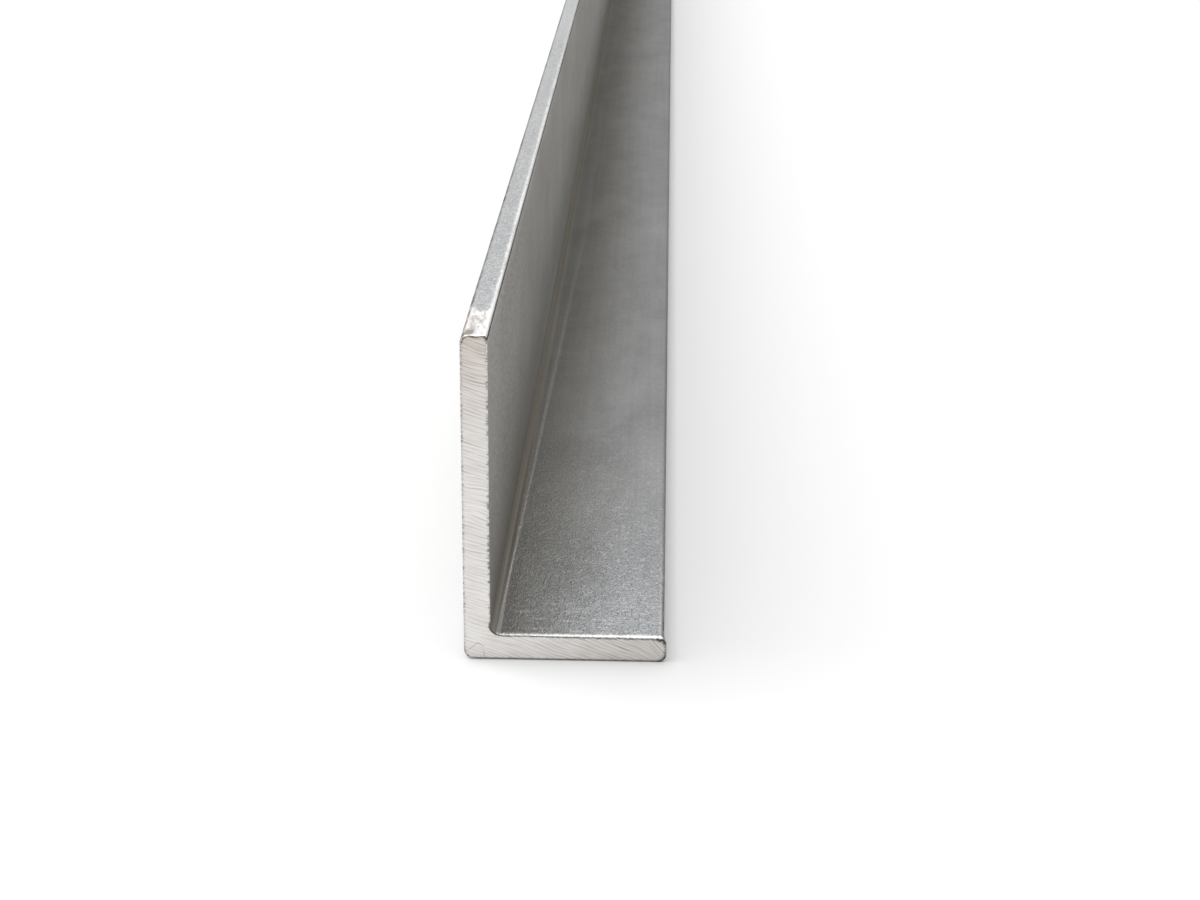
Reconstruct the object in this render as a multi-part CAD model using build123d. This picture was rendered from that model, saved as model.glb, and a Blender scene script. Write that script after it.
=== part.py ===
"""Unequal-leg metal angle section: one straight, sawn length of solid bar stock.

Row frame, millimetres: +X across the short leg, +Y along the bar, +Z up the long leg.
The short leg lies flat on the floor and the long leg stands on its -X side.
The origin is the centre of the bounding box at floor level.
"""

from build123d import *

import os

# The bar as it is bought: leg lengths are outside sizes, and both legs share one thickness.
LENGTH = 1000.0
LONG_LEG = 50.0
SHORT_LEG = 30.0
THICKNESS = 4.0

# The rounded corners of the section.
ROOT_RADIUS = 1.5  # concave, where the inner faces meet
HEEL_RADIUS = 1.5  # convex, where the outer faces meet
LONG_TOE_OUTER_RADIUS = 1.2
LONG_TOE_INNER_RADIUS = 0.5
SHORT_TOE_UPPER_RADIUS = 1.2
SHORT_TOE_LOWER_RADIUS = 1.2

# The saw leaves a sharp rim round each end, which is filed off.
RIM_BEVEL = 0.25

# The two corners of a toe share the thickness of the leg.
MOST_OF_WALL_IN_ONE_CORNER = 0.48
# A rim's bevel follows the corners round, so it stays inside the tightest of them.
MOST_OF_CORNER_IN_BEVEL = 0.9

BACK_X = -SHORT_LEG / 2  # outer face of the long leg
TOE_X = SHORT_LEG / 2  # end of the short leg


def toe_radius(wanted):
    """A toe corner's radius, limited by the wall that it is cut into."""
    return min(wanted, MOST_OF_WALL_IN_ONE_CORNER * THICKNESS)


def corners():
    """The section's corners as (x, z, radius), anticlockwise from the heel."""
    return [
        (BACK_X, 0, HEEL_RADIUS),
        (TOE_X, 0, toe_radius(SHORT_TOE_LOWER_RADIUS)),
        (TOE_X, THICKNESS, toe_radius(SHORT_TOE_UPPER_RADIUS)),
        (BACK_X + THICKNESS, THICKNESS, ROOT_RADIUS),
        (BACK_X + THICKNESS, LONG_LEG, toe_radius(LONG_TOE_INNER_RADIUS)),
        (BACK_X, LONG_LEG, toe_radius(LONG_TOE_OUTER_RADIUS)),
    ]


def section():
    """The L-shaped section, drawn flat and stood up in the XZ plane, with its corners rounded."""
    outline = Polyline([(x, z) for x, z, _ in corners()], close=True)
    face = make_face(outline)
    for x, z, radius in corners():
        corner = face.vertices().sort_by_distance((x, z, 0))[0]
        face = fillet(corner, radius)
    return Plane.XZ * face


def bar():
    """The section run along the whole length, with the rim of each sawn end bevelled."""
    stock = extrude(section(), LENGTH / 2, both=True)
    tightest = min(radius for _, _, radius in corners())
    bevel = min(RIM_BEVEL, MOST_OF_CORNER_IN_BEVEL * tightest)
    sawn_ends = stock.faces().filter_by(Axis.Y)
    return chamfer(sawn_ends.edges(), bevel)


def main():
    os.makedirs("parts", exist_ok=True)
    export_step(bar(), "parts/angle_section.step")


main()
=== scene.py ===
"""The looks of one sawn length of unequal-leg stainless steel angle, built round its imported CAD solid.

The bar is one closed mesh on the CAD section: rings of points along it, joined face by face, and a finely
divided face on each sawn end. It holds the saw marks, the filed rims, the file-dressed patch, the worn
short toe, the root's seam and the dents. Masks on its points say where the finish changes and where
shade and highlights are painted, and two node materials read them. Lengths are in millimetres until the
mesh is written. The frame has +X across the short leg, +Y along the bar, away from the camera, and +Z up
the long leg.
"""

import math
from collections import namedtuple

import bpy
import numpy as np
from mathutils import Matrix, Vector, noise
from mathutils.geometry import delaunay_2d_cdt


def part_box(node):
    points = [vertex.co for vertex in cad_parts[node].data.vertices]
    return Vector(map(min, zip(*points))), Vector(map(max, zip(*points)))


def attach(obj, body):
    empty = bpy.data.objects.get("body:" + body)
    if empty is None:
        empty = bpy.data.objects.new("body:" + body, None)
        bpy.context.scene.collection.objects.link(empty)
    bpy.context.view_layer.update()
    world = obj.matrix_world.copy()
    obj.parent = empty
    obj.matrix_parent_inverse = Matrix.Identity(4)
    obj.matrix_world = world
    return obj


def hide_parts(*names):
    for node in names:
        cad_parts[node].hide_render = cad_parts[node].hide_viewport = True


MM = 0.001
NODE = "angle_section"

# The section's sizes that its box doesn't give, as in the part's source.
THICKNESS = 4.0
ROOT_RADIUS = 1.5
HEEL_RADIUS = 1.5
LONG_TOE_OUTER_RADIUS = 1.2
LONG_TOE_INNER_RADIUS = 0.5
SHORT_TOE_RADIUS = 1.2

# The rim of a sawn end: the least it reaches over the end face and back along the bar.
RIM_WIDTH = 0.16
RIM_DEPTH = 0.2
# Its rows of points, from the end face to the bar's side: how far each has turned, how dark its line is,
# how much of that a bright lip hides, and whether sawn metal and burr reach it.
RimRow = namedtuple("RimRow", "turn_deg line hidden sawn beads")
RIM_ROWS = (
    RimRow(0, 1, 0, True, True),
    RimRow(20, 0.8, 0.3, True, True),
    RimRow(40, 0.6, 0.6, True, True),
    RimRow(65, 0, 0, True, False),
    RimRow(90, 0, 0, False, False),
)
# The rim by stretch of the outline: how much further it is filed, how bright its lip and its beads of
# burr are, how dark its line is (past 1, it also widens onto the end face) and how broken.
RimFinish = namedtuple("RimFinish", "growth lip beads line broken")
RIM_STRETCHES = {
    "heel": (0, 0, 0, 0.9, 0.6),
    "heel_flat": (0, 0, 0, 0.85, 0.2),
    "short_toe_lower": (0, 0, 0, 1.7, 0.1),
    "short_toe_lower_flat": (0.6, 0, 0.6, 1, 1),
    "short_toe_upper": (0.3, 0.3, 0, 2, 0.2),
    "short_toe_upper_flat": (1, 1, 0, 0.85, 0.4),
    "root": (-0.3, 0, 0, 1, 0),
    "root_flat": (-0.5, 0, 0.9, 0.7, 1),
    "long_toe_inner": (0, 0.4, 0, 1.8, 0.2),
    "long_toe_inner_flat": (-0.2, 0.9, 0, 1.25, 0.4),
    "long_toe_outer": (0.7, 1, 0, 1, 0.4),
    "long_toe_outer_flat": (-0.35, 0, 0.5, 0.58, 0.75),
}
RIM_BLEND = 0.3  # how far one stretch runs over into the next
RIM_TAPER = 0.6  # how much of the short leg's lip is lost towards the root

# The saw: its marks are arcs about one centre, given from the heel, as (across, up).
SAW_CENTRE = (-66.0, -215.0)
SAW_RADIUS = 240.0  # of the arcs over the face, about
TOE_DRAG = (26.8, 0.14)  # past this place on the short leg the marks bend down, by this much
SAW_MARK_DEPTH = 0.03
BROAD_MARKS = (2.6, 16.0)  # the marks' wavelengths, across the arcs and along them
NARROW_MARKS = (0.42, 9.0)
END_SEEDS = {"front": 40, "rear": 60}  # of the noises on the two sawn ends
# Three scratches at the heel of the front end, as (across, up) pairs from the heel.
HEEL_SCRATCHES = (((0.3, 1.1), (2.1, 2.6)), ((2.1, 2.6), (3.0, 2.0)), ((3.0, 1.25), (3.05, 0.4)))
SCRATCH_REACH = 0.1
SCRATCH_DARKNESS = 0.45

# The rolled skin's waves and ripples: seed, depth, and wavelengths across and along. Its toes' dents.
ROLLED_WAVES = ((11, 0.02, 17.0, 70.0), (12, 0.006, 5.0, 9.0))
DENT_DEPTH = 0.16
DENT_SIZE = (2.5, 3.2)  # across and along the bar, about
TOE_WEAR = 0.4  # how far the short toe lies back behind the burr of a sawn end
TOE_WEAR_BEGINS = (0.4, 1.3)  # how far from the end the wear starts, and is full

# The file-dressed patch, on the front end of the long leg's edge: its length at the back, in the middle
# and at the inner side, how deep the file went at its start, at its end and in smears, and its blur.
PATCH_LENGTHS = (16.4, 11.6, 14.8)
PATCH_DEPTH = 0.06
PATCH_STEP = 0.04
PATCH_SMEAR = 0.03
PATCH_BLUR = 0.35

# The fine seam of the root, a low ridge with a painted highlight along it: how far from the wall it runs
# at the front end and further back, the length it takes to drift there, how far back its paint has faded
# by half, and how its lines widen.
SEAM_FROM_WALL = (0.9, 4.5)
SEAM_DRIFT_LENGTH = 228.0
SEAM_HALF_GONE = 100.0
SEAM_WIDENS = 2.1
SEAM_RIDGE = (0.008, 0.2)  # its ridge's height, and its reach to each side
# Its painted lines at the front end, a highlight with a fainter twin and a brown shade between them: how
# far each lies towards the wall, its reach and its strength.
SEAM_LINES = {"seam": (0.0, 0.125, 0.4), "twin": (0.55, 0.13, 0.1), "brown": (0.3, 0.14, 0.16)}

# The camera, found from the bar's edges in the photograph: its place from the heel's front corner.
CAMERA_FROM_HEEL = (28.86, -305.92, 141.03)
CAMERA_TURNS_DEG = (19.427, -1.664, -0.369)  # down, to the right and rolled
CAMERA_LENS = 68.08
CAMERA_SENSOR = 36.0


# ---- numbers

WAVE_SHIFTS = (37.7, 11.3, 23.9)  # how far apart the noises of two seeds are read


def rise(low, high, value):
    """0 at low, 1 at high, and a smooth rise between them."""
    share = np.clip((value - low) / (high - low), 0, 1)
    return share * share * (3 - 2 * share)


def hump(middle, reach, value):
    """1 at the middle, falling to 0 at that reach from it."""
    return rise(reach, 0, np.abs(value - middle))


def waves(seed, across, along):
    """Smooth noise, about -1 to 1, at places given in wavelengths."""
    shift = Vector([seed * step for step in WAVE_SHIFTS])
    return np.array([noise.noise(Vector((a, b, 0)) + shift) for a, b in zip(across, along)])


# ---- the section's outline

EDGE_ROWS = (0.15, 0.35, 0.6, 0.9)  # extra rows of points near a flat's edges
SHORT_FLAT = 5.0  # a flat shorter than this is divided as finely as an arc


class Outline:
    """A closed line of flats and quarter-circle arcs, read by the length along it."""

    def __init__(self, corners):
        parts = []
        for i, (name, corner, radius) in enumerate(corners):
            corner, before = np.array(corner, float), np.array(corners[i - 1][1], float)
            _, after, next_radius = corners[(i + 1) % len(corners)]
            come = (corner - before) / np.linalg.norm(corner - before)
            leave = (np.array(after) - corner) / np.linalg.norm(np.array(after) - corner)
            turn = come[0] * leave[1] - come[1] * leave[0]
            run = np.linalg.norm(np.array(after) - corner) - radius - next_radius
            parts.append((name, corner - come * radius, come, radius * math.pi / 2, turn / radius))
            parts.append((name + "_flat", corner + leave * radius, leave, run, 0.0))
        self.names, *values = zip(*parts)
        self.places, self.ways, self.lengths, self.bends = (np.array(column) for column in values)
        ends = np.cumsum(self.lengths)
        self.starts, self.length = np.append(0, ends[:-1]), ends[-1]

    def span(self, name):
        """Where the named arc or flat starts and ends."""
        i = self.names.index(name)
        return self.starts[i], self.starts[i] + self.lengths[i]

    def at(self, along):
        """The points and outward normals at these lengths along the outline."""
        i = np.searchsorted(self.starts, along, side="right") - 1
        t, bend = (along - self.starts[i])[:, None], self.bends[i][:, None]
        way = self.ways[i]
        left = np.stack([-way[:, 1], way[:, 0]], 1)
        straight = bend == 0
        radius = 1 / np.where(straight, 1, bend)
        ahead = np.where(straight, t, np.sin(bend * t) * radius)
        aside = np.where(straight, 0, (1 - np.cos(bend * t)) * radius)
        heading = way * np.cos(bend * t) + left * np.sin(bend * t)
        outward = np.stack([heading[:, 1], -heading[:, 0]], 1)
        return self.places[i] + way * ahead + left * aside, outward

    def stations(self, flat_step, arc_step):
        """Lengths along the outline at about these steps, with the points and outward normals there."""
        found = []
        for name, start, length in zip(self.names, self.starts, self.lengths):
            long_flat = name.endswith("_flat") and length > SHORT_FLAT
            step = flat_step if long_flat else arc_step
            parts = 2 ** max(2, math.ceil(math.log2(length / step)))  # so a fine list holds a coarse one
            rows = np.arange(parts) / parts * length
            if long_flat:
                rows = np.union1d(rows, (EDGE_ROWS, length - np.array(EDGE_ROWS)))
            found.append(start + rows)
        along = np.concatenate(found)
        return along, *self.at(along)


def section_outline(low, high):
    """The section, from the CAD node's own box, anticlockwise from the heel."""
    back, toe, top = low[0], high[0], high[2]
    return Outline([
        ("heel", (back, 0), HEEL_RADIUS),
        ("short_toe_lower", (toe, 0), SHORT_TOE_RADIUS),
        ("short_toe_upper", (toe, THICKNESS), SHORT_TOE_RADIUS),
        ("root", (back + THICKNESS, THICKNESS), ROOT_RADIUS),
        ("long_toe_inner", (back + THICKNESS, top), LONG_TOE_INNER_RADIUS),
        ("long_toe_outer", (back, top), LONG_TOE_OUTER_RADIUS),
    ])


def within(outline, name, along, blur):
    """1 on the named arc or flat, falling to 0 over the blur beside it."""
    start, end = outline.span(name)
    return rise(start - blur, start, along) * rise(end + blur, end, along)


# ---- relief

def saw_marks(low, places, seed):
    """The depth of the saw's marks, 0 to about 1, at places on a sawn face."""
    from_centre = places - (low[0] + SAW_CENTRE[0], SAW_CENTRE[1])
    past = np.clip(places[:, 0] - low[0] - TOE_DRAG[0], 0, None)
    radius = np.hypot(from_centre[:, 0], from_centre[:, 1]) + TOE_DRAG[1] * past ** 2
    sweep = np.arctan2(from_centre[:, 0], from_centre[:, 1]) * SAW_RADIUS
    drift = radius + 0.2 * waves(seed, sweep / 9, radius / 9)
    broad = waves(seed + 1, drift / BROAD_MARKS[0], sweep / BROAD_MARKS[1])
    narrow = waves(seed + 2, drift / NARROW_MARKS[0], sweep / NARROW_MARKS[1])
    groove = np.clip(-narrow - 0.1, 0, 1) * 2
    return np.clip(0.4 + 0.2 * broad + 0.4 * groove, 0, 1.5)


def dressed_patch(low, high, points, from_front):
    """How far the file lowered the long leg's edge, and where its bright patch is."""
    across = np.clip((points[:, 0] - low[0]) / THICKNESS, 0, 1)
    below_top = high[2] - points[:, 1]
    reach = np.interp(across, (0, 0.5, 1), PATCH_LENGTHS)
    reach = reach * (1 + 0.07 * waves(31, points[:, 0] / 0.7, from_front / 3))
    smear = waves(32, points[:, 0] / 1.3, from_front / 2.6)
    smear += 0.5 * waves(33, points[:, 0] / 0.6, from_front / 1.1)
    on_patch = rise(reach + PATCH_BLUR, reach - PATCH_BLUR, from_front)
    slope = np.clip(1 - from_front / reach, 0, 1)
    fall = PATCH_DEPTH * slope + PATCH_STEP + PATCH_SMEAR * smear
    fall *= rise(2.6, 1.0, below_top) * on_patch
    bright = on_patch * rise(1.25, 0.75, below_top) * rise(0.985, 0.95, across)
    return fall, bright


def rolled_relief(outline, along, along_bar):
    """How far the rolled surface lies inside its true section."""
    sunk = sum(
        depth * (1 + waves(seed, along / across, along_bar / onward))
        for seed, depth, across, onward in ROLLED_WAVES
    )
    corners = ("short_toe_upper", "long_toe_inner", "long_toe_outer")
    toes = sum(within(outline, name, along, 0.6) for name in corners)
    dents = np.clip(waves(13, along / DENT_SIZE[0], along_bar / DENT_SIZE[1]) - 0.35, 0, 1)
    return sunk + DENT_DEPTH * toes * dents


def toe_wear(place, toe, from_end):
    """How far the short toe is worn back, behind the burr of a sawn end."""
    return np.clip(place[:, 0] - (toe - TOE_WEAR), 0, None) * rise(*TOE_WEAR_BEGINS, from_end)


def seam_ridge(place, from_front):
    """The height of the root seam's ridge at points of the section."""
    height, reach = SEAM_RIDGE
    seam = np.interp(from_front, (0, SEAM_DRIFT_LENGTH), SEAM_FROM_WALL)
    from_wall = place[:, 0] - place[:, 0].min() - THICKNESS
    return height * hump(seam, reach, from_wall) * (place[:, 1] > THICKNESS / 2) * (from_wall > 0.1)


# ---- masks

# Here along is a length on the outline and along_bar a distance from the front end.

MASKS = ("line", "bright", "dressed", "root", "stain_and_light", "edge", "burnished")


def merged(*parts):
    """Several sets of masks as one, each mask at its greatest value."""
    names = dict.fromkeys(name for part in parts for name in part)
    return {name: np.maximum.reduce([part[name] for part in parts if name in part]) for name in names}


def short_toe_masks(outline, along, along_bar):
    """The short toe: painted light on its upper corner, which is burnished, and painted shade darkening
    its side.
    """
    toe_bend, toe_start = outline.span("short_toe_upper")
    front_corner = 0.4 * hump(toe_start - 0.25, 0.4, along) * rise(50, 3, along_bar)
    far_corner = 0.3 * hump(toe_bend + 1.0, 0.4, along) * rise(60, 240, along_bar)
    dirt_and_shade = rise(toe_start - 0.75, toe_bend + 0.4, along)
    dirt_and_shade *= within(outline, "short_toe_lower_flat", along, 1.2)
    return {
        "bright": np.maximum(front_corner, far_corner),
        "line": 0.4 * dirt_and_shade,
        "burnished": 0.5 * within(outline, "short_toe_upper", along, 0.1) * rise(30, 5, along_bar),
        "edge": within(outline, "short_toe_lower_flat", along, 0.25),
    }


def long_edge_masks(outline, along, along_bar):
    """The long leg's edge: a painted highlight on its inner corner, partly wear, over a painted dark line
    where the corner reflects the dark side, and a broken dark line at the back.
    """
    patchy = np.clip(0.75 + 0.4 * waves(15, along_bar / 6, along / 3), 0, 1)
    broken = np.clip(0.7 + 0.5 * waves(16, along_bar / 2.5, along / 2), 0, 1)
    wall_top, edge_start = outline.span("long_toe_inner")
    _, back_top = outline.span("long_toe_outer")
    # Painted highlight, partly wear: the corner is brighter towards the front end.
    worn = 0.25 + 0.75 * rise(320, 90, along_bar)
    corner = np.clip(1.25 * worn * hump(edge_start - 0.3, 0.75, along) * patchy, 0, 1)
    below_line = 0.3 * worn * hump(wall_top - 0.75, 0.4, along) * patchy
    inner_line = (1.7 - 0.25 * rise(20, 120, along_bar)) * patchy * hump(wall_top, 0.4, along)
    back_line = rise(back_top - 1.35, back_top - 1.1, along) * rise(back_top + 0.1, back_top - 0.1, along)
    parts = ("long_toe_inner", "long_toe_inner_flat", "long_toe_outer")
    return {
        "bright": np.maximum(corner, below_line),
        "line": np.maximum(np.clip(inner_line, 0, 1), 0.9 * broken * back_line),
        "stain_and_light": 0.6 * corner,  # the painted highlight on the corner is matt, so that it comes out pale
        "edge": np.maximum.reduce([within(outline, name, along, 0.25) for name in parts]),
    }


def root_masks(outline, along, along_bar):
    """The root and the faces beside it: painted shade darkening towards the root, partly dark scale
    there, painted light on the wall's foot, and a matt brown coat on the fillet.
    """
    toe_start, root_start = outline.span("short_toe_upper_flat")
    root_end, wall_top = outline.span("root_flat")
    near_front = rise(170, 30, along_bar)
    # Painted shade: the short leg darkens towards the root, where the wall shades it, less so at the
    # front end and around 105 mm back.
    paler = 0.7 * rise(30, 5, along_bar) + 0.9 * hump(105, 55, along_bar)
    towards_root = rise(toe_start + 2, root_start - 3, along) ** (1 + paler)
    front_shade = 0.17 * rise(60, 5, along_bar) * rise(root_start - 4, root_start - 1, along)
    far_light = 0.12 * (1 - near_front) * rise(root_start - 3, root_start, along)
    short_leg = front_shade - far_light + (0.68 - 0.16 * near_front) * towards_root
    short_leg *= along <= root_start
    long_leg = 0.2 * rise(root_end + 12, wall_top - 8, along) * (along <= wall_top)
    fillet = (0.62 + 0.08 * near_front) * hump(root_start + 0.45, 1.4, along) * rise(0, 40, along_bar)
    # Painted light on the wall's foot, where it lies in shade: matt and brown near the front end, bright
    # metal further back.
    foot = rise(root_end + 15, root_end + 1, along) * rise(root_end - 0.1, root_end + 0.3, along)
    # A matt brown coat on the fillet, partly real and partly there to even out the fillet's shading.
    film_and_light = rise(root_start - 0.2, root_start + 0.7, along) * rise(root_end + 7, root_end, along)
    film_and_light *= 0.75 + 0.1 * near_front
    return {
        "bright": 0.19 * (1 - near_front) * foot,
        "root": np.maximum.reduce([short_leg, long_leg, fillet]),
        "stain_and_light": np.maximum(0.75 * near_front * foot, film_and_light),
    }


def rim_finish(outline, along):
    """RIM_STRETCHES at these lengths along the outline, run into each other."""
    found = np.zeros((len(RimFinish._fields), len(along)))
    total = np.zeros(len(along))
    for name, values in RIM_STRETCHES.items():
        share = within(outline, name, along, RIM_BLEND)
        found += share * np.array(values)[:, None]
        total += share
    growth, lip, beads, line, broken = found / total
    toe_end, root_start = outline.span("short_toe_upper_flat")
    round_toe = rise(toe_end - 1.0, toe_end - 0.4, along) * (along <= toe_end)
    into_root = rise(root_start + 0.8, root_start + 0.4, along) * (along > root_start)
    growth = np.maximum(growth, RIM_STRETCHES["short_toe_upper_flat"][0] * round_toe)
    lip = np.maximum(np.maximum(lip, into_root), round_toe)
    towards_toe = 0.5 - np.interp(along, (toe_end, root_start), (0, 1))
    growth *= 1 + RIM_TAPER * towards_toe * 2 * (lip > 0.99)
    return RimFinish(growth, lip, beads, line, broken)


def rim_shape(along, finish, marks, seed):
    """How far a rim reaches over the end face and back along the bar."""
    growth, lip = finish.growth, finish.lip
    uneven = 1 + (0.12 + 0.3 * growth) * waves(seed + 7, along / 1.6, along / 0.3)
    uneven += 0.2 * np.clip(marks - 0.7, 0, 1)
    uneven += 1.3 * lip * np.clip(1 - growth, 0, 1) * waves(seed + 11, along / 1.2, along / 40)
    return RIM_WIDTH * (1 + growth) * uneven, RIM_DEPTH * (1 + growth) * uneven


def rim_masks(row, finish, ragged, along, seed):
    """A rim row's masks: a broken dark line, partly dirt and partly painted shadow of the burr, beads of
    burr, a bright lip and sawn metal.
    """
    _, lip, beads, line, broken = finish
    until = 0.45 - 0.3 * line
    dashes = rise(until, until - 0.25, waves(seed + 8, along / 0.29, along / 7))
    dashes = (1 - 0.85 * broken * dashes) * np.minimum(line, 1)
    beaded = beads * rise(-0.05, 0.2, waves(seed + 9, along / 0.45, along / 5))
    gaps = 1 - 0.7 * ragged * rise(0.0, 0.3, waves(seed + 10, along / 0.5, along / 3))
    bright_lip = 0.95 * lip * gaps * rise(0.25, 0.7, math.radians(row.turn_deg))
    sawn = 0.85 * (1 - dashes) * row.sawn
    return {
        "line": dashes * (row.line - row.hidden * lip) * (1 - beaded),
        "bright": np.maximum.reduce([bright_lip, sawn, beaded * row.beads]),
    }


# ---- the surface

SKIN, SAWN = 0, 1  # the two material slots

FRONT_ZONE = 30.0  # the length at the front end with a zone to itself
END_RUN = 0.4  # how far a rim's curve runs past the bar's end, on the map
# The map's zones as (left, low, right, high): the sides' front, their rest in two, and the sawn ends.
MAP_ZONES = {
    "front": (0.004, 0.804, 0.996, 0.996),
    "first": (0.004, 0.004, 0.4, 0.796),
    "second": (0.406, 0.004, 0.802, 0.796),
    "front_end": (0.808, 0.47, 0.998, 0.7867),
    "rear_end": (0.808, 0.14, 0.998, 0.4567),
}

# How far apart the points of a rim lie, on the flats and round the arcs, and the most elsewhere.
RIM_STEPS = (0.2, 0.12)
PATCH_STEPS = (0.8, 0.2)
SIDE_STEPS = (4, 0.45)
# How far apart the rings lie on the dressed patch, and at most near an end, and how many lie further in.
RING_STEP = 0.3
WIDEST_STEP = 1.6
NEAR_END = 120.0
MIDDLE_RINGS = 128

# A row of points to make: lengths along the outline, places on the section and normals there, distances
# from the front end, the row's run on the map, its share of the rolled relief, and masks of its own.
Row = namedtuple("Row", "along place outward from_front run relief masks")
Ring = namedtuple("Ring", "first along run")  # a row that is made, with its first point's number


def on_map(zone, across, up):
    """The place on the map at these shares of a zone's width and height."""
    left, low, right, high = MAP_ZONES[zone]
    return left + (right - left) * across, low + (high - low) * up


class Surface:
    """The bar's points, masks, faces and map as they are made."""

    def __init__(self):
        self.points, self.masks, self.faces, self.places, self.kinds = [], [], [], [], []
        self.count = 0

    def add_points(self, points, masks):
        """Takes the points with their masks, and gives the first one's number."""
        first = self.count
        self.points.append(points)
        rows = [np.broadcast_to(masks.get(name, 0.0), len(points)) for name in MASKS]
        self.masks.append(np.stack(rows, 1))
        self.count += len(points)
        return first

    def add_face(self, corners, places, kind):
        """Takes a face: its corners, their places on the map and its material slot."""
        self.faces.append(corners)
        self.places.extend(places)
        self.kinds.append(kind)


def rim_rows(outline, low, high, end):
    """A sawn end's rim, row by row from its end face."""
    length = high[1] - low[1]
    seed = END_SEEDS[end]
    root_start, _ = outline.span("root")
    along, base, outward = outline.stations(*RIM_STEPS)
    finish = rim_finish(outline, along)
    width, depth = rim_shape(along, finish, saw_marks(low, base, seed), seed)
    ragged = rise(root_start - 5, root_start - 1, along)
    rows = []
    for row in RIM_ROWS:
        turn = math.radians(row.turn_deg)
        fade = math.cos(turn)
        place = base - outward * (width * (1 - math.sin(turn)))[:, None]
        from_end = depth * (1 - fade) + fade * SAW_MARK_DEPTH * saw_marks(low, place, seed)
        from_front = from_end if end == "front" else length - from_end
        run = -END_RUN * fade if end == "front" else length + END_RUN * fade
        masks = rim_masks(row, finish, ragged, along, seed)
        rows.append(Row(along, place, outward, from_front, run, 1 - fade, masks))
    return rows


def side_runs(length):
    """How far the rings between the rims lie from the front end."""
    most_filed = max(growth for growth, *_ in RIM_STRETCHES.values())
    past_rim = RIM_DEPTH * (1 + most_filed) * 2.2

    def inwards(fine_until):
        runs, at = [], past_rim
        while at < NEAR_END:
            runs.append(at)
            at += np.clip(0.12 * (at - fine_until) + RING_STEP, RING_STEP, WIDEST_STEP)
        return runs

    front = inwards(PATCH_LENGTHS[0] + 1)
    rear = [length - at for at in inwards(0)]
    middle = np.linspace(NEAR_END, length - NEAR_END, MIDDLE_RINGS)
    halfway = (FRONT_ZONE + length) / 2
    return sorted({*front, *rear, *middle, FRONT_ZONE, halfway})


def side_rows(outline, length):
    """The rows between the rims, finer near the ends."""
    rows = []
    for from_front in side_runs(length):
        past_rim = min(from_front, length - from_front) - 0.3
        most = PATCH_STEPS if from_front < PATCH_LENGTHS[0] + 1.5 else SIDE_STEPS
        flat_step = np.clip(RIM_STEPS[0] + 0.4 * past_rim, RIM_STEPS[0], most[0])
        arc_step = np.clip(RIM_STEPS[1] + 0.05 * past_rim, RIM_STEPS[1], most[1])
        along, base, outward = outline.stations(flat_step, arc_step)
        rows.append(Row(along, base, outward, np.full(len(along), from_front), from_front, 1, {}))
    return rows


def add_ring(surface, outline, low, high, row):
    """One ring of points, with the rolled surface's relief and finish."""
    along, from_front = row.along, row.from_front
    sunk = row.relief * (rolled_relief(outline, along, from_front) - seam_ridge(row.place, from_front))
    place = row.place - row.outward * sunk[:, None]
    place[:, 0] -= toe_wear(place, high[0], np.minimum(from_front, high[1] - low[1] - from_front))
    fall, dressed = dressed_patch(low, high, place, from_front)
    points = np.stack([place[:, 0], low[1] + from_front, place[:, 1] - fall], 1)
    parts = (short_toe_masks, long_edge_masks, root_masks)
    masks = merged(*(part(outline, along, from_front) for part in parts), {"dressed": dressed}, row.masks)
    return Ring(surface.add_points(points, masks), along, row.run)


def add_rings(surface, outline, low, high):
    """All the rings, from the front end's rim to the rear end's."""
    front, rear = (rim_rows(outline, low, high, end) for end in ("front", "rear"))
    rows = [*front, *side_rows(outline, high[1] - low[1]), *reversed(rear)]
    return [add_ring(surface, outline, low, high, row) for row in rows]


def zone_of(run, length):
    """The map's zone for faces that start at this run, and the runs at its ends."""
    halfway = (FRONT_ZONE + length) / 2
    if run < FRONT_ZONE:
        return "front", -END_RUN, FRONT_ZONE
    if run < halfway:
        return "first", FRONT_ZONE, halfway
    return "second", halfway, length + END_RUN


def join_rings(surface, near, far, outline_length, bar_length):
    """Faces between two rings, stepping on round whichever is behind."""
    zone, start, end = zone_of(near.run, bar_length)
    heights = [(ring.run - start) / (end - start) for ring in (near, far)]
    ahead = [np.append(ring.along, outline_length) for ring in (near, far)]
    counts = [len(ring.along) for ring in (near, far)]
    i = j = 0

    def corner(side, k):
        ring = (near, far)[side]
        index = ring.first + k % counts[side]
        return index, on_map(zone, 1 - ahead[side][k] / outline_length, heights[side])

    while i < counts[0] or j < counts[1]:
        next_near = ahead[0][i + 1] if i < counts[0] else math.inf
        next_far = ahead[1][j + 1] if j < counts[1] else math.inf
        step_near = next_near <= next_far + 1e-6
        step_far = next_far <= next_near + 1e-6
        found = [corner(0, i), corner(1, j)]
        if step_far:
            found.append(corner(1, j + 1))
        if step_near:
            found.append(corner(0, i + 1))
        surface.add_face([c[0] for c in found], [c[1] for c in found], SKIN)
        i, j = i + step_near, j + step_far


LATTICE_TURN_DEG = -17  # the end face's lattice lies along the saw's marks
LATTICE_STEPS = (0.3, 0.13)
LATTICE_MARGIN = 0.1
WIDENED_LINE = (0.4, 0.15)  # how far from the rim its widened line ends, and is full


def inside(points, polygon):
    """Which points lie inside a closed polygon."""
    found = np.zeros(len(points), bool)
    x, z = points[:, 0], points[:, 1]
    for (x0, z0), (x1, z1) in zip(polygon, np.roll(polygon, -1, 0)):
        if z0 == z1:
            continue
        found ^= ((z0 > z) != (z1 > z)) & (x < (x1 - x0) * (z - z0) / (z1 - z0) + x0)
    return found


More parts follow.
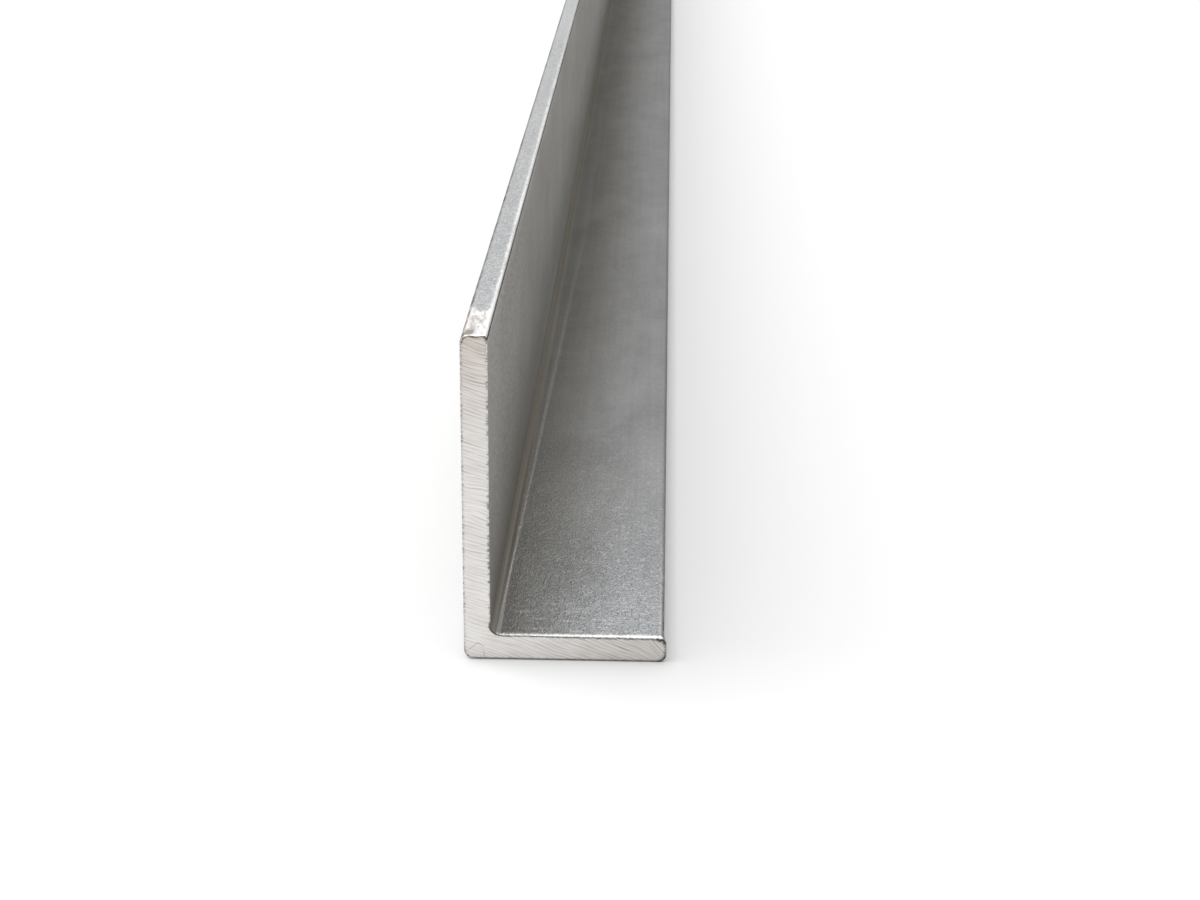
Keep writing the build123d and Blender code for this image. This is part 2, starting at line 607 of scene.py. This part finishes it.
def face_lattice(outline, low, high):
    """A lattice of points over a sawn face."""
    turn = math.radians(LATTICE_TURN_DEG)
    reach = high[2] + high[0] - low[0]
    steps = (np.arange(-reach, reach, step) for step in LATTICE_STEPS)
    u, v = (grid.ravel() for grid in np.meshgrid(*steps))
    x = u * math.cos(turn) - v * math.sin(turn)
    z = u * math.sin(turn) + v * math.cos(turn)
    boxed = (x > low[0]) & (x < high[0]) & (z > 0) & (z < high[2])
    points = np.stack([x, z], 1)[boxed]
    _, base, outward = outline.stations(0.5, 0.2)
    return points[inside(points, base - outward * (RIM_WIDTH * 1.5 + LATTICE_MARGIN))]


def near_rim(outline, ring, rim, points):
    """How far points of a sawn face lie from its rim, and how dark its line is there."""
    gap, wide = np.full(len(points), np.inf), np.zeros(len(points))
    for point, line in zip(rim, rim_finish(outline, ring.along).line):
        away = np.hypot(*(points - point).T)
        wide[away < gap] = max(line - 1, 0)
        gap = np.minimum(gap, away)
    return gap, wide * rise(*WIDENED_LINE, gap)


def add_sawn_face(surface, outline, ring, low, high, end):
    """The sawn face inside a rim, finely divided to hold the saw's marks."""
    rim = np.concatenate(surface.points)[ring.first:ring.first + len(ring.along), [0, 2]]
    lattice = face_lattice(outline, low, high)
    gap, line = near_rim(outline, ring, rim, lattice)
    kept = inside(lattice, rim) & (gap > LATTICE_MARGIN)
    lattice, line = lattice[kept], line[kept]
    marks = SAW_MARK_DEPTH * saw_marks(low, lattice, END_SEEDS[end])
    y = low[1] + marks if end == "front" else high[1] - marks
    first = surface.add_points(np.stack([lattice[:, 0], y, lattice[:, 1]], 1), {"line": line})

    flat = [Vector(p) for p in np.concatenate([rim, lattice])]
    edges = [(i, (i + 1) % len(rim)) for i in range(len(rim))]
    _, _, faces, origins, _, _ = delaunay_2d_cdt(flat, edges, [], 1, 1e-7)
    across = [(p.x - low[0]) / (high[0] - low[0]) for p in flat]
    across = across if end == "front" else [1 - share for share in across]
    places = [on_map(end + "_end", share, p.y / high[2]) for share, p in zip(across, flat)]
    for face in faces:
        corners = [origins[i][0] for i in face]
        if end == "rear":
            corners.reverse()
        indices = [ring.first + c if c < len(rim) else first + c - len(rim) for c in corners]
        surface.add_face(indices, [places[c] for c in corners], SAWN)


def write_mesh(surface, name):
    """The surface as a mesh in metres, with its masks and its map."""
    mesh = bpy.data.meshes.new(name)
    points = np.concatenate(surface.points) * MM
    mesh.from_pydata(points.tolist(), [], surface.faces)
    mesh.polygons.foreach_set("material_index", surface.kinds)
    mesh.polygons.foreach_set("use_smooth", [True] * len(surface.faces))
    for mask, values in zip(MASKS, np.concatenate(surface.masks).T):
        attribute = mesh.attributes.new("mask_" + mask, "FLOAT", "POINT")
        attribute.data.foreach_set("value", values.astype(np.float32))
    chart = mesh.uv_layers.new(name="OFBake")
    chart.data.foreach_set("uv", np.ravel(surface.places).astype(np.float32))
    mesh.update()
    return mesh


def build_bar(low, high):
    """The whole bar as one object."""
    outline = section_outline(low, high)
    surface = Surface()
    rings = add_rings(surface, outline, low, high)
    for near, far in zip(rings, rings[1:]):
        join_rings(surface, near, far, outline.length, high[1] - low[1])
    add_sawn_face(surface, outline, rings[0], low, high, "front")
    add_sawn_face(surface, outline, rings[-1], low, high, "rear")
    return new_object("angle_bar", write_mesh(surface, "angle_bar"))


# ---- node helpers

BUMP_HEIGHT = 0.05 * MM  # of a material's relief, from 0 to 1


class Nodes:
    """A short way to make shader nodes, each given as its output socket."""

    def __init__(self, tree):
        self.tree = tree

    def fill(self, node, inputs):
        """Sets a node's inputs, each from a socket or to a value."""
        for name, value in inputs.items():
            if isinstance(value, bpy.types.NodeSocket):
                self.tree.links.new(value, node.inputs[name])
            else:
                node.inputs[name].default_value = value

    def end(self, kind, inputs):
        """Sets the inputs of the tree's own node of this kind."""
        self.fill(next(node for node in self.tree.nodes if node.type == kind), inputs)

    def surface(self, inputs):
        """Sets the shader's inputs, for a matt look where it isn't metal."""
        self.end("BSDF_PRINCIPLED", {"Specular IOR Level": 0.0, **inputs})

    def make(self, kind, inputs=(), output=0, **settings):
        node = self.tree.nodes.new("ShaderNode" + kind)
        for name, value in settings.items():
            setattr(node, name, value)
        self.fill(node, dict(inputs))
        return node.outputs[output]

    def mask(self, name):
        return self.make("Attribute", attribute_name="mask_" + name, output="Fac")

    def maths(self, operation, a, b=0.0, c=0.0, clamp=False):
        return self.make("Math", {0: a, 1: b, 2: c}, operation=operation, use_clamp=clamp)

    def plus(self, a, b):
        return self.maths("ADD", a, b)

    def minus(self, a, b, clamp=False):
        return self.maths("SUBTRACT", a, b, clamp=clamp)

    def times(self, a, b):
        return self.maths("MULTIPLY", a, b)

    def times_plus(self, a, b, c, clamp=False):
        return self.maths("MULTIPLY_ADD", a, b, c, clamp)

    def greater(self, a, b):
        return self.maths("MAXIMUM", a, b)

    def vector(self, operation, a, b=(0, 0, 0), output=0):
        return self.make("VectorMath", {0: a, 1: b}, operation=operation, output=output)

    def scaled(self, vector, scales):
        return self.vector("MULTIPLY", vector, scales)

    def parts(self, vector):
        """A vector's three coordinates."""
        return self.make("SeparateXYZ", {0: vector}).node.outputs

    def position(self):
        """The position on the object, in millimetres."""
        return self.scaled(self.make("TexCoord", output="Object"), (1 / MM,) * 3)

    def noise(self, vector, scale=1.0, detail=2.0, roughness=0.5, distortion=0.0):
        inputs = {"Vector": vector, "Scale": scale, "Detail": detail, "Roughness": roughness}
        return self.make("TexNoise", {**inputs, "Distortion": distortion})

    def gathered(self, *parts, middle=0.5):
        """The middle and the sum of each (noise, weight), the noise taken about 0.5."""
        total = middle - sum(weight for _, weight in parts) / 2
        for value, weight in parts:
            total = self.times_plus(value, weight, total)
        return total

    def worms(self, value, width):
        """1 where a noise crosses its middle, -0.5 at this width from there, and 0 at three times it."""
        off = self.maths("ABSOLUTE", self.minus(value, 0.5))
        dark = self.spread(off, width, 3 * width, -0.5, 0)
        return self.plus(self.spread(off, 0, width, 1.5, 0), dark)

    def spread(self, value, from_low, from_high, to_low=0.0, to_high=1.0):
        """One range turned into another, and held at its ends."""
        return self.make("MapRange", {0: value, 1: from_low, 2: from_high, 3: to_low, 4: to_high})

    def mix(self, share, a, b):
        """A colour from a to b."""
        return self.make("Mix", {0: share, 6: a, 7: b}, output=2, data_type="RGBA")

    def blend(self, share, a, b):
        """A number from a to b."""
        return self.make("Mix", {0: share, 2: a, 3: b}, data_type="FLOAT")

    def bump(self, height, strength):
        return self.make("Bump", {"Height": height, "Distance": BUMP_HEIGHT, "Strength": strength})


def new_object(name, data):
    """A new object in the scene."""
    made = bpy.data.objects.new(name, data)
    bpy.context.scene.collection.objects.link(made)
    return made


def new_material(name):
    """A material with nodes."""
    material = bpy.data.materials.new(name)
    material.use_nodes = True
    return material


# ---- materials

MILL_DARK = (0.235, 0.235, 0.2335, 1)
MILL_LIGHT = (0.559, 0.563, 0.567, 1)
ROOT_SHADE_TINT = (0.41, 0.38, 0.3)  # what the skin's colour is multiplied by deep in the root: painted shade, partly dark scale there
STAIN_AND_PAINTED_LIGHT = (0.222, 0.198, 0.163, 1)  # a matt brown film; on the wall's foot it is painted light, and on the fillet it is partly there to even out the shading
END_TINT = (0.985, 0.995, 1.02)  # the skin is a little cooler near the ends
WALL_REFLECTION_TINT = (1.01, 0.975, 0.9)  # the long leg's inner face is warmer than the short leg's: a painted warm reflection
GRAZING_TINT = (0.5, 0.5, 0.5, 1)  # a dull skin doesn't turn to a mirror at a grazing angle
EDGE_DARK = (0.4, 0.41, 0.42, 1)
EDGE_LIGHT = (0.68, 0.688, 0.69, 1)
# Rubbed bare metal, also the colour of the painted highlights.
RUBBED_AND_HIGHLIGHT = (0.9, 0.895, 0.885, 1)
# The dressed patch: its dark-to-pale smears are partly the filed metal's tone, partly painted reflection.
DRESSED_DARK = (0.4, 0.35, 0.31, 1)
DRESSED_LIGHT = (0.97, 0.965, 0.955, 1)
SAWN_DARK = (0.42, 0.35, 0.3, 1)
SAWN_TOP_TINT = (0.855, 0.8, 0.765)  # a brown film over the top of the long leg's end
SAWN_TOE_TINT = (0.85, 0.84, 0.825)
SAWN_LIGHT = (0.885, 0.872, 0.855, 1)
# Dark lines: partly dirt, partly painted shade, as on the rims, the toes and the long leg's edge.
DIRT_AND_SHADE = (0.06, 0.042, 0.03, 1)

# How rough the skin is where darkest and lightest, where worn and where burnished, and the sawn ends.
ROUGHNESS_BY_SHADE = (0.48, 0.38)
WORN_ROUGHNESS = 0.48
BURNISHED_ROUGHNESS = 0.16
SAWN_ROUGHNESS = 0.5

# The skin's noises: how fine each is along x, y and z, then its detail, roughness and distortion.
SKIN_NOISES = {
    "clouds": ((0.07, 0.03, 0.07), 3),
    "blotches": ((0.16, 0.06, 0.16), 3, 0.6),
    "streaks": ((1.1, 0.015, 1.1), 3, 0.55),
    "brushing": ((0.3, 0.1, 2.6), 2),
    "rubbing": ((0.22, 1.1, 0.22), 2),
    "grain": ((2.2, 1.1, 2.2), 2, 0.5, 1.3),
    "curls": ((0.9, 0.43, 0.9), 1),
    "ringlets": ((1.5, 0.7, 1.5), 1),
    "scratches": ((0.22, 1.4, 0.22), 1),
    "flecks": ((2.2, 1.0, 2.2), 0),
    "pitting": ((1, 0.4, 1.8), 5, 0.68),
    "smears": ((0.8, 0.15, 0.8), 4, 0.65, 1.1),
}
SCRATCH_STRENGTH = 0.42  # of the scratches on the short leg

# The saw's two sets of lines. Near the heel both are as dark as HEEL_LINES says.
SawLines = namedtuple("SawLines", "spacing width wander darkest depth")
SAW_LINES = (SawLines(0.58, 0.28, 2.5, 0.68, 0.3), SawLines(0.37, 0.33, 4.0, 0.5, 0.2))
HEEL_LINES = 0.38
# How far from the heel the sawn face starts to change, and has changed.
TOWARDS_SHORT_TOE = (12, 28)
TOWARDS_LONG_TOE = (36, 50)
BROWN_FILM = (25, 50)


class SkinNodes(Nodes):
    """The mill skin's nodes, with the noises that its parts share."""

    def __init__(self, tree, low, high):
        super().__init__(tree)
        self.low, self.high = low, high
        place = self.position()
        self.x, self.y, self.z = self.parts(place)
        self.from_middle = self.maths("ABSOLUTE", self.y)
        for name, (fineness, *settings) in SKIN_NOISES.items():
            setattr(self, name, self.noise(self.scaled(place, fineness), 1.0, *settings))
        self.on_wall = self.spread(self.z, THICKNESS + 1, THICKNESS + 8)
        self.strength = self.near_end(105, 5, 0.24, 1)  # of the fine texture
        ringlets = self.times(self.worms(self.ringlets, 0.06), 0.8)
        self.tracks = self.greater(self.worms(self.curls, 0.05), ringlets)
        self.pits = self.times(self.minus(self.pitting, 0.5), self.on_wall)

    def near_end(self, begins, full, away=0.0, there=1.0):
        """A value that changes between these distances from the bar's ends."""
        end = self.high[1]
        return self.spread(self.from_middle, end - begins, end - full, away, there)

    def shade(self):
        """How light the bare skin is, with more texture near the ends, and lighter there, partly wear and
        partly painted light.
        """
        soft = ((self.clouds, 0.6), (self.blotches, 0.35), (self.streaks, 0.3), (self.brushing, 0.2))
        texture = self.gathered((self.grain, 0.5), (self.rubbing, 0.5), middle=-0.02)
        texture = self.times_plus(self.tracks, 0.75, texture)
        texture = self.times_plus(self.pits, 3.5, texture)
        shade = self.times_plus(texture, self.strength, self.gathered(*soft))
        # Lighter towards the ends: partly wear, partly painted light.
        for begins, full in ((110, 5), (35, 2)):
            shade = self.times_plus(self.near_end(begins, full), 0.3, shade)
        return shade

    def skin_colour(self, shade):
        """The skin's colour, with the wall's painted warm reflection, a matt brown coat and painted shade
        in the root.
        """
        colour = self.mix(self.spread(shade, 0, 1.35), MILL_DARK, MILL_LIGHT)
        colour = self.mix(self.near_end(60, 10), colour, self.scaled(colour, END_TINT))
        colour = self.mix(self.on_wall, colour, self.scaled(colour, WALL_REFLECTION_TINT))
        colour = self.mix(self.mask("stain_and_light"), colour, STAIN_AND_PAINTED_LIGHT)
        return self.mix(self.mask("root"), colour, self.scaled(colour, ROOT_SHADE_TINT))

    def edge_colour(self):
        """The paler colour of the toes' edges."""
        shade = self.gathered((self.grain, 1.6), (self.clouds, 0.5), middle=0.45)
        shade = self.times_plus(self.tracks, 0.7, shade)
        # Painted light: the edges are paler along the middle of the bar than near its ends.
        shade = self.plus(shade, self.near_end(350, 150, 0.3, 0))
        return self.mix(shade, EDGE_DARK, EDGE_LIGHT)

    def dressed_smears(self):
        """The dressed patch's smears, paler inwards and towards its end, which give its relief and its
        colour: partly the filed metal's own tone, partly painted reflection.
        """
        back, front, _ = self.low
        inward = self.spread(self.x, back, back + THICKNESS, -0.07, 0.1)
        onward = self.spread(self.y, front, front + PATCH_LENGTHS[0], -0.05, 0.05)
        return self.plus(self.smears, self.plus(inward, onward))

    def seam_highlights(self):
        """The root's painted highlight, drawn as a seam with a fainter twin, and how dark the painted
        brown shade between them is.
        """
        back, front, _ = self.low
        near, far = (back + THICKNESS + gap for gap in SEAM_FROM_WALL)
        off = self.minus(self.x, self.spread(self.y, front, front + SEAM_DRIFT_LENGTH, near, far))
        from_front = self.maths("DIVIDE", self.minus(self.y, front), SEAM_HALF_GONE)
        off = self.maths("DIVIDE", off, self.times_plus(from_front, SEAM_WIDENS, 1.0))
        fading = self.maths("DIVIDE", 1.0, self.times_plus(from_front, from_front, 1.0))
        fading = self.times(fading, self.spread(from_front, 0, 0.25, 0.45, 1))
        fading = self.times(fading, self.maths("GREATER_THAN", self.z, THICKNESS / 2))
        found = {}
        for name, (gap, reach, strength) in SEAM_LINES.items():
            away = self.maths("ABSOLUTE", self.plus(off, gap))
            found[name] = self.times(self.spread(away, 0.04, reach, 1, 0), self.times(fading, strength))
        broken_highlight = self.times(found["seam"], self.spread(self.grain, 0.35, 0.6, 0.4, 1))
        return self.greater(broken_highlight, found["twin"]), found["brown"]

    def scratched(self):
        """Scratches and flecks on the short leg, near the ends."""
        inner_face = self.low[0] + THICKNESS
        found = self.greater(self.spread(self.scratches, 0.6, 0.68), self.spread(self.flecks, 0.7, 0.76))
        on_leg = self.spread(self.x, inner_face + 2, inner_face + 4)
        found = self.times(found, self.times(self.near_end(18, 3), on_leg))
        return self.times(found, SCRATCH_STRENGTH)

    def bright(self, seam):
        """Where bare metal shows or a highlight is painted: the mask, made ragged, the seam's painted
        highlight and the scratches.
        """
        mask = self.mask("bright")
        margin = self.times(self.times(mask, mask), self.minus(1.0, mask))
        bright = self.times_plus(margin, self.spread(self.grain, 0.3, 0.7, -4, 4), mask, clamp=True)
        return self.greater(bright, self.greater(seam, self.scratched()))

    def roughness(self, shade, bright):
        """The skin's roughness, by shade, wear and burnishing."""
        rough = self.spread(shade, 0, 1, *ROUGHNESS_BY_SHADE)
        rough = self.blend(self.greater(bright, self.mask("edge")), rough, WORN_ROUGHNESS)
        return self.blend(self.mask("burnished"), rough, BURNISHED_ROUGHNESS)

    def relief(self, smears):
        """The skin's fine relief, flatter where it is burnished."""
        height = self.gathered((self.grain, 0.4), (self.streaks, 0.3))
        for value, weight in ((self.tracks, 0.5), (self.pits, 3.0)):
            height = self.times_plus(value, self.times(self.strength, weight), height)
        height = self.blend(self.mask("dressed"), height, smears)
        return self.bump(height, self.spread(self.mask("burnished"), 0, 1, 1, 0.3))


def mill_skin(low, high):
    """The rolled skin: mottled grey with a fine wormy grain and faint streaks."""
    material = new_material("mill_skin")
    nodes = SkinNodes(material.node_tree, low, high)
    shade, smears = nodes.shade(), nodes.dressed_smears()
    seam, brown = nodes.seam_highlights()
    bright = nodes.bright(seam)
    dirt_and_shade = nodes.greater(nodes.mask("line"), brown)
    colour = nodes.mix(nodes.mask("edge"), nodes.skin_colour(shade), nodes.edge_colour())
    dressed = nodes.mix(nodes.spread(smears, 0.33, 0.55), DRESSED_DARK, DRESSED_LIGHT)
    colour = nodes.mix(nodes.mask("dressed"), colour, dressed)
    colour = nodes.mix(bright, colour, RUBBED_AND_HIGHLIGHT)
    nodes.surface({
        "Base Color": nodes.mix(dirt_and_shade, colour, DIRT_AND_SHADE),
        "Metallic": nodes.minus(1.0, nodes.greater(dirt_and_shade, nodes.mask("stain_and_light"))),
        "Roughness": nodes.roughness(shade, bright),
        "Normal": nodes.relief(smears),
        "Specular Tint": GRAZING_TINT,
    })
    return material


class SawnNodes(Nodes):
    """A sawn face's nodes, with each place's radius and sweep on the saw's arcs."""

    def __init__(self, tree, low):
        super().__init__(tree)
        self.low, self.place = low, self.position()
        self.x, self.y, self.z = self.parts(self.place)
        centre = (low[0] + SAW_CENTRE[0], 0, SAW_CENTRE[1])
        arm = self.scaled(self.vector("SUBTRACT", self.place, centre), (1, 0, 1))
        across, _, up = self.parts(arm)
        self.sweep = self.times(self.maths("ARCTAN2", across, up), SAW_RADIUS)
        past = self.greater(self.minus(self.x, low[0] + TOE_DRAG[0]), 0.0)
        radius = self.vector("LENGTH", arm, output="Value")
        radius = self.times_plus(self.maths("POWER", past, 2.0), TOE_DRAG[1], radius)
        wobble = self.noise(self.place, scale=0.2, detail=1)
        self.radius = self.times_plus(wobble, 0.8, radius)

    def marks(self, across, along, detail=1.0):
        """Noise this fine across the saw's arcs and along them."""
        parts = (self.times(self.radius, across), self.times(self.sweep, along), self.times(self.y, 0.01))
        return self.noise(self.make("CombineXYZ", enumerate(parts)), detail=detail, roughness=0.6)

    def teeth(self, lines):
        """Even lines, each as dark as the saw pressed there."""
        row = self.maths("DIVIDE", self.radius, lines.spacing)
        row = self.times_plus(self.marks(0.35, 0.09), lines.wander, row)
        line = self.spread(self.maths("PINGPONG", row, 0.5), 0, lines.width, 1, 0)
        return self.times(line, self.spread(self.marks(1.3 / lines.spacing, 0.2), 0.34, 0.66))

    def scratch(self, from_heel, start, end):
        """1 along a straight scratch, falling to 0 at SCRATCH_REACH from it."""
        way = Vector((end[0] - start[0], 0, end[1] - start[1]))
        half = way.length / 2
        way.normalize()
        arm = self.vector("SUBTRACT", from_heel, (start[0], 0, start[1]))
        ahead = self.vector("DOT_PRODUCT", arm, way, output="Value")
        aside = self.vector("DOT_PRODUCT", arm, (-way.z, 0, way.x), output="Value")
        beyond = self.minus(self.maths("ABSOLUTE", self.minus(ahead, half)), half)
        gap = self.greater(self.maths("ABSOLUTE", aside), beyond)
        return self.spread(gap, 0, SCRATCH_REACH, 1, 0)

    def heel_scratches(self):
        """How dark the scratches at the heel of the front end are."""
        from_heel = self.vector("SUBTRACT", self.place, (self.low[0], 0, 0))
        found = 0.0
        for start, end in HEEL_SCRATCHES:
            found = self.greater(found, self.scratch(from_heel, start, end))
        found = self.times(found, self.maths("LESS_THAN", self.y, 0))
        return self.times(found, SCRATCH_DARKNESS)


def sawn_face(low):
    """A sawn end: pale fresh metal with fine dark marks along the saw's arcs."""
    material = new_material("sawn_face")
    nodes = SawnNodes(material.node_tree, low)
    rows = [(nodes.teeth(lines), lines) for lines in SAW_LINES]
    fine = nodes.marks(9.0, 0.3, 2)
    at_toe = nodes.spread(nodes.x, *(low[0] + reach for reach in TOWARDS_SHORT_TOE))
    by_end = nodes.greater(at_toe, nodes.spread(nodes.z, *TOWARDS_LONG_TOE, 0, 0.8))
    shade = nodes.gathered((fine, 0.4), (nodes.noise(nodes.place, scale=0.25, detail=3), 0.4))
    shade = nodes.plus(shade, 0.45)
    for teeth, lines in rows:
        dark = nodes.times(teeth, nodes.spread(by_end, 0, 1, HEEL_LINES, lines.darkest))
        shade = nodes.minus(shade, dark, clamp=True)
    colour = nodes.mix(shade, SAWN_DARK, SAWN_LIGHT)
    filmed = nodes.maths("POWER", nodes.spread(nodes.z, *BROWN_FILM), 2.0)
    colour = nodes.mix(filmed, colour, nodes.scaled(colour, SAWN_TOP_TINT))
    colour = nodes.mix(at_toe, colour, nodes.scaled(colour, SAWN_TOE_TINT))
    dirt_and_shade = nodes.greater(nodes.mask("line"), nodes.heel_scratches())
    height = nodes.gathered((fine, 0.25), *((teeth, -lines.depth) for teeth, lines in rows))
    nodes.surface({
        "Base Color": nodes.mix(dirt_and_shade, colour, DIRT_AND_SHADE),
        "Metallic": nodes.minus(1.0, dirt_and_shade),
        "Roughness": SAWN_ROUGHNESS,
        "Normal": nodes.bump(height, 1.0),
    })
    return material


# ---- the studio

FLOOR_SIDE = 60.0  # metres
FLOOR_DROP = 0.00002
FLOOR_COLOUR = (0.72, 0.72, 0.72, 1)
FLOOR_GLOW = 0.05  # for the camera and in reflections, so that the floor comes out white
SKY_LOW = (0.12, 0.12, 0.12, 1)
SKY_HIGH = (1.6, 1.6, 1.6, 1)
# Where the sky turns from low to high, and dims to the right and the front, along a unit vector.
SKY_RISE = (0.12, 0.6)
SKY_RIGHT = (0.0, 0.7)
SKY_FRONT = (-0.1, -0.9)
SKY_SIDE = 0.5  # the share of its light that is left there
# The soft boxes: where each is, what it faces, its side in metres and its power in watts.
LAMPS = {
    "key": ((-1.4, -0.15, 1.5), (0, -0.3, 0), 1.4, 19),
    "overhead": ((0, -0.2, 1.9), (0, -0.2, 0), 1.4, 4),
}


def make_floor():
    """A plain pale floor that keeps the bar's shadow."""
    mesh = bpy.data.meshes.new("floor")
    half = FLOOR_SIDE / 2
    corners = ((-half, -half), (half, -half), (half, half), (-half, half))
    mesh.from_pydata([(x, y, -FLOOR_DROP) for x, y in corners], [], [(0, 1, 2, 3)])
    material = new_material("floor")
    nodes = Nodes(material.node_tree)
    path = nodes.make("LightPath").node.outputs
    seen = nodes.greater(path["Is Camera Ray"], path["Is Glossy Ray"])
    seen = nodes.greater(seen, path["Is Transmission Ray"])
    nodes.surface({
        "Base Color": FLOOR_COLOUR,
        "Roughness": 1.0,
        "Emission Color": (1, 1, 1, 1),
        "Emission Strength": nodes.times(seen, FLOOR_GLOW),
    })
    mesh.materials.append(material)
    new_object("floor", mesh)


def make_sky():
    """Soft light from above, behind and the left."""
    world = bpy.data.worlds.new("studio")
    world.use_nodes = True
    nodes = Nodes(world.node_tree)
    x, y, z = nodes.parts(nodes.make("TexCoord", output="Generated"))
    right = nodes.spread(x, *SKY_RIGHT, 1, SKY_SIDE)
    front = nodes.spread(y, *SKY_FRONT, 1, SKY_SIDE)
    nodes.end("BACKGROUND", {
        "Color": nodes.mix(nodes.spread(z, *SKY_RISE), SKY_LOW, SKY_HIGH),
        "Strength": nodes.times(right, front),
    })
    bpy.context.scene.world = world


def make_lamp(name, place, aim, side, power):
    """A square soft box that faces a point."""
    data = bpy.data.lights.new(name, "AREA")
    data.shape, data.size, data.energy = "SQUARE", side, power
    lamp = new_object(name, data)
    lamp.location = place
    lamp.rotation_euler = (Vector(aim) - Vector(place)).to_track_quat("-Z", "Y").to_euler()


def make_camera(low):
    """The photograph's camera."""
    pitch, yaw, roll = (math.radians(turn) for turn in CAMERA_TURNS_DEG)
    ahead = Vector((math.sin(yaw) * math.cos(pitch), math.cos(yaw) * math.cos(pitch), -math.sin(pitch)))
    level = Vector((math.cos(yaw), -math.sin(yaw), 0))
    down = ahead.cross(level)
    right = level * math.cos(roll) + down * math.sin(roll)
    up = level * math.sin(roll) - down * math.cos(roll)
    data = bpy.data.cameras.new("camera")
    data.sensor_fit, data.sensor_width, data.lens = "HORIZONTAL", CAMERA_SENSOR, CAMERA_LENS
    data.clip_start, data.clip_end = 0.01, 100
    camera = new_object("camera", data)
    place = (Vector((low[0], low[1], 0)) + Vector(CAMERA_FROM_HEEL)) * MM
    turn = Matrix((right, up, -ahead)).transposed().to_4x4()
    camera.matrix_world = Matrix.Translation(place) @ turn
    bpy.context.scene.camera = camera


# ---- the scene

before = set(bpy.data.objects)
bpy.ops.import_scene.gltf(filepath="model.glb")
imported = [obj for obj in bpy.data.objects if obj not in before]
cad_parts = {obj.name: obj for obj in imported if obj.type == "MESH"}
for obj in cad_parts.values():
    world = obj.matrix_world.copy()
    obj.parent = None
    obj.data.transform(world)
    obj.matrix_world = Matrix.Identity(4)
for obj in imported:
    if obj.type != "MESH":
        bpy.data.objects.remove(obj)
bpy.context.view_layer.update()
low, high = (np.array(corner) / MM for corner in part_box(NODE))

bar = build_bar(low, high)
bar.data.materials.append(mill_skin(low, high))
bar.data.materials.append(sawn_face(low))
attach(bar, "root")
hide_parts(NODE)

make_floor()
make_sky()
for lamp_name, settings in LAMPS.items():
    make_lamp(lamp_name, *settings)
make_camera(low)

bpy.context.scene.view_settings.view_transform = "Standard"
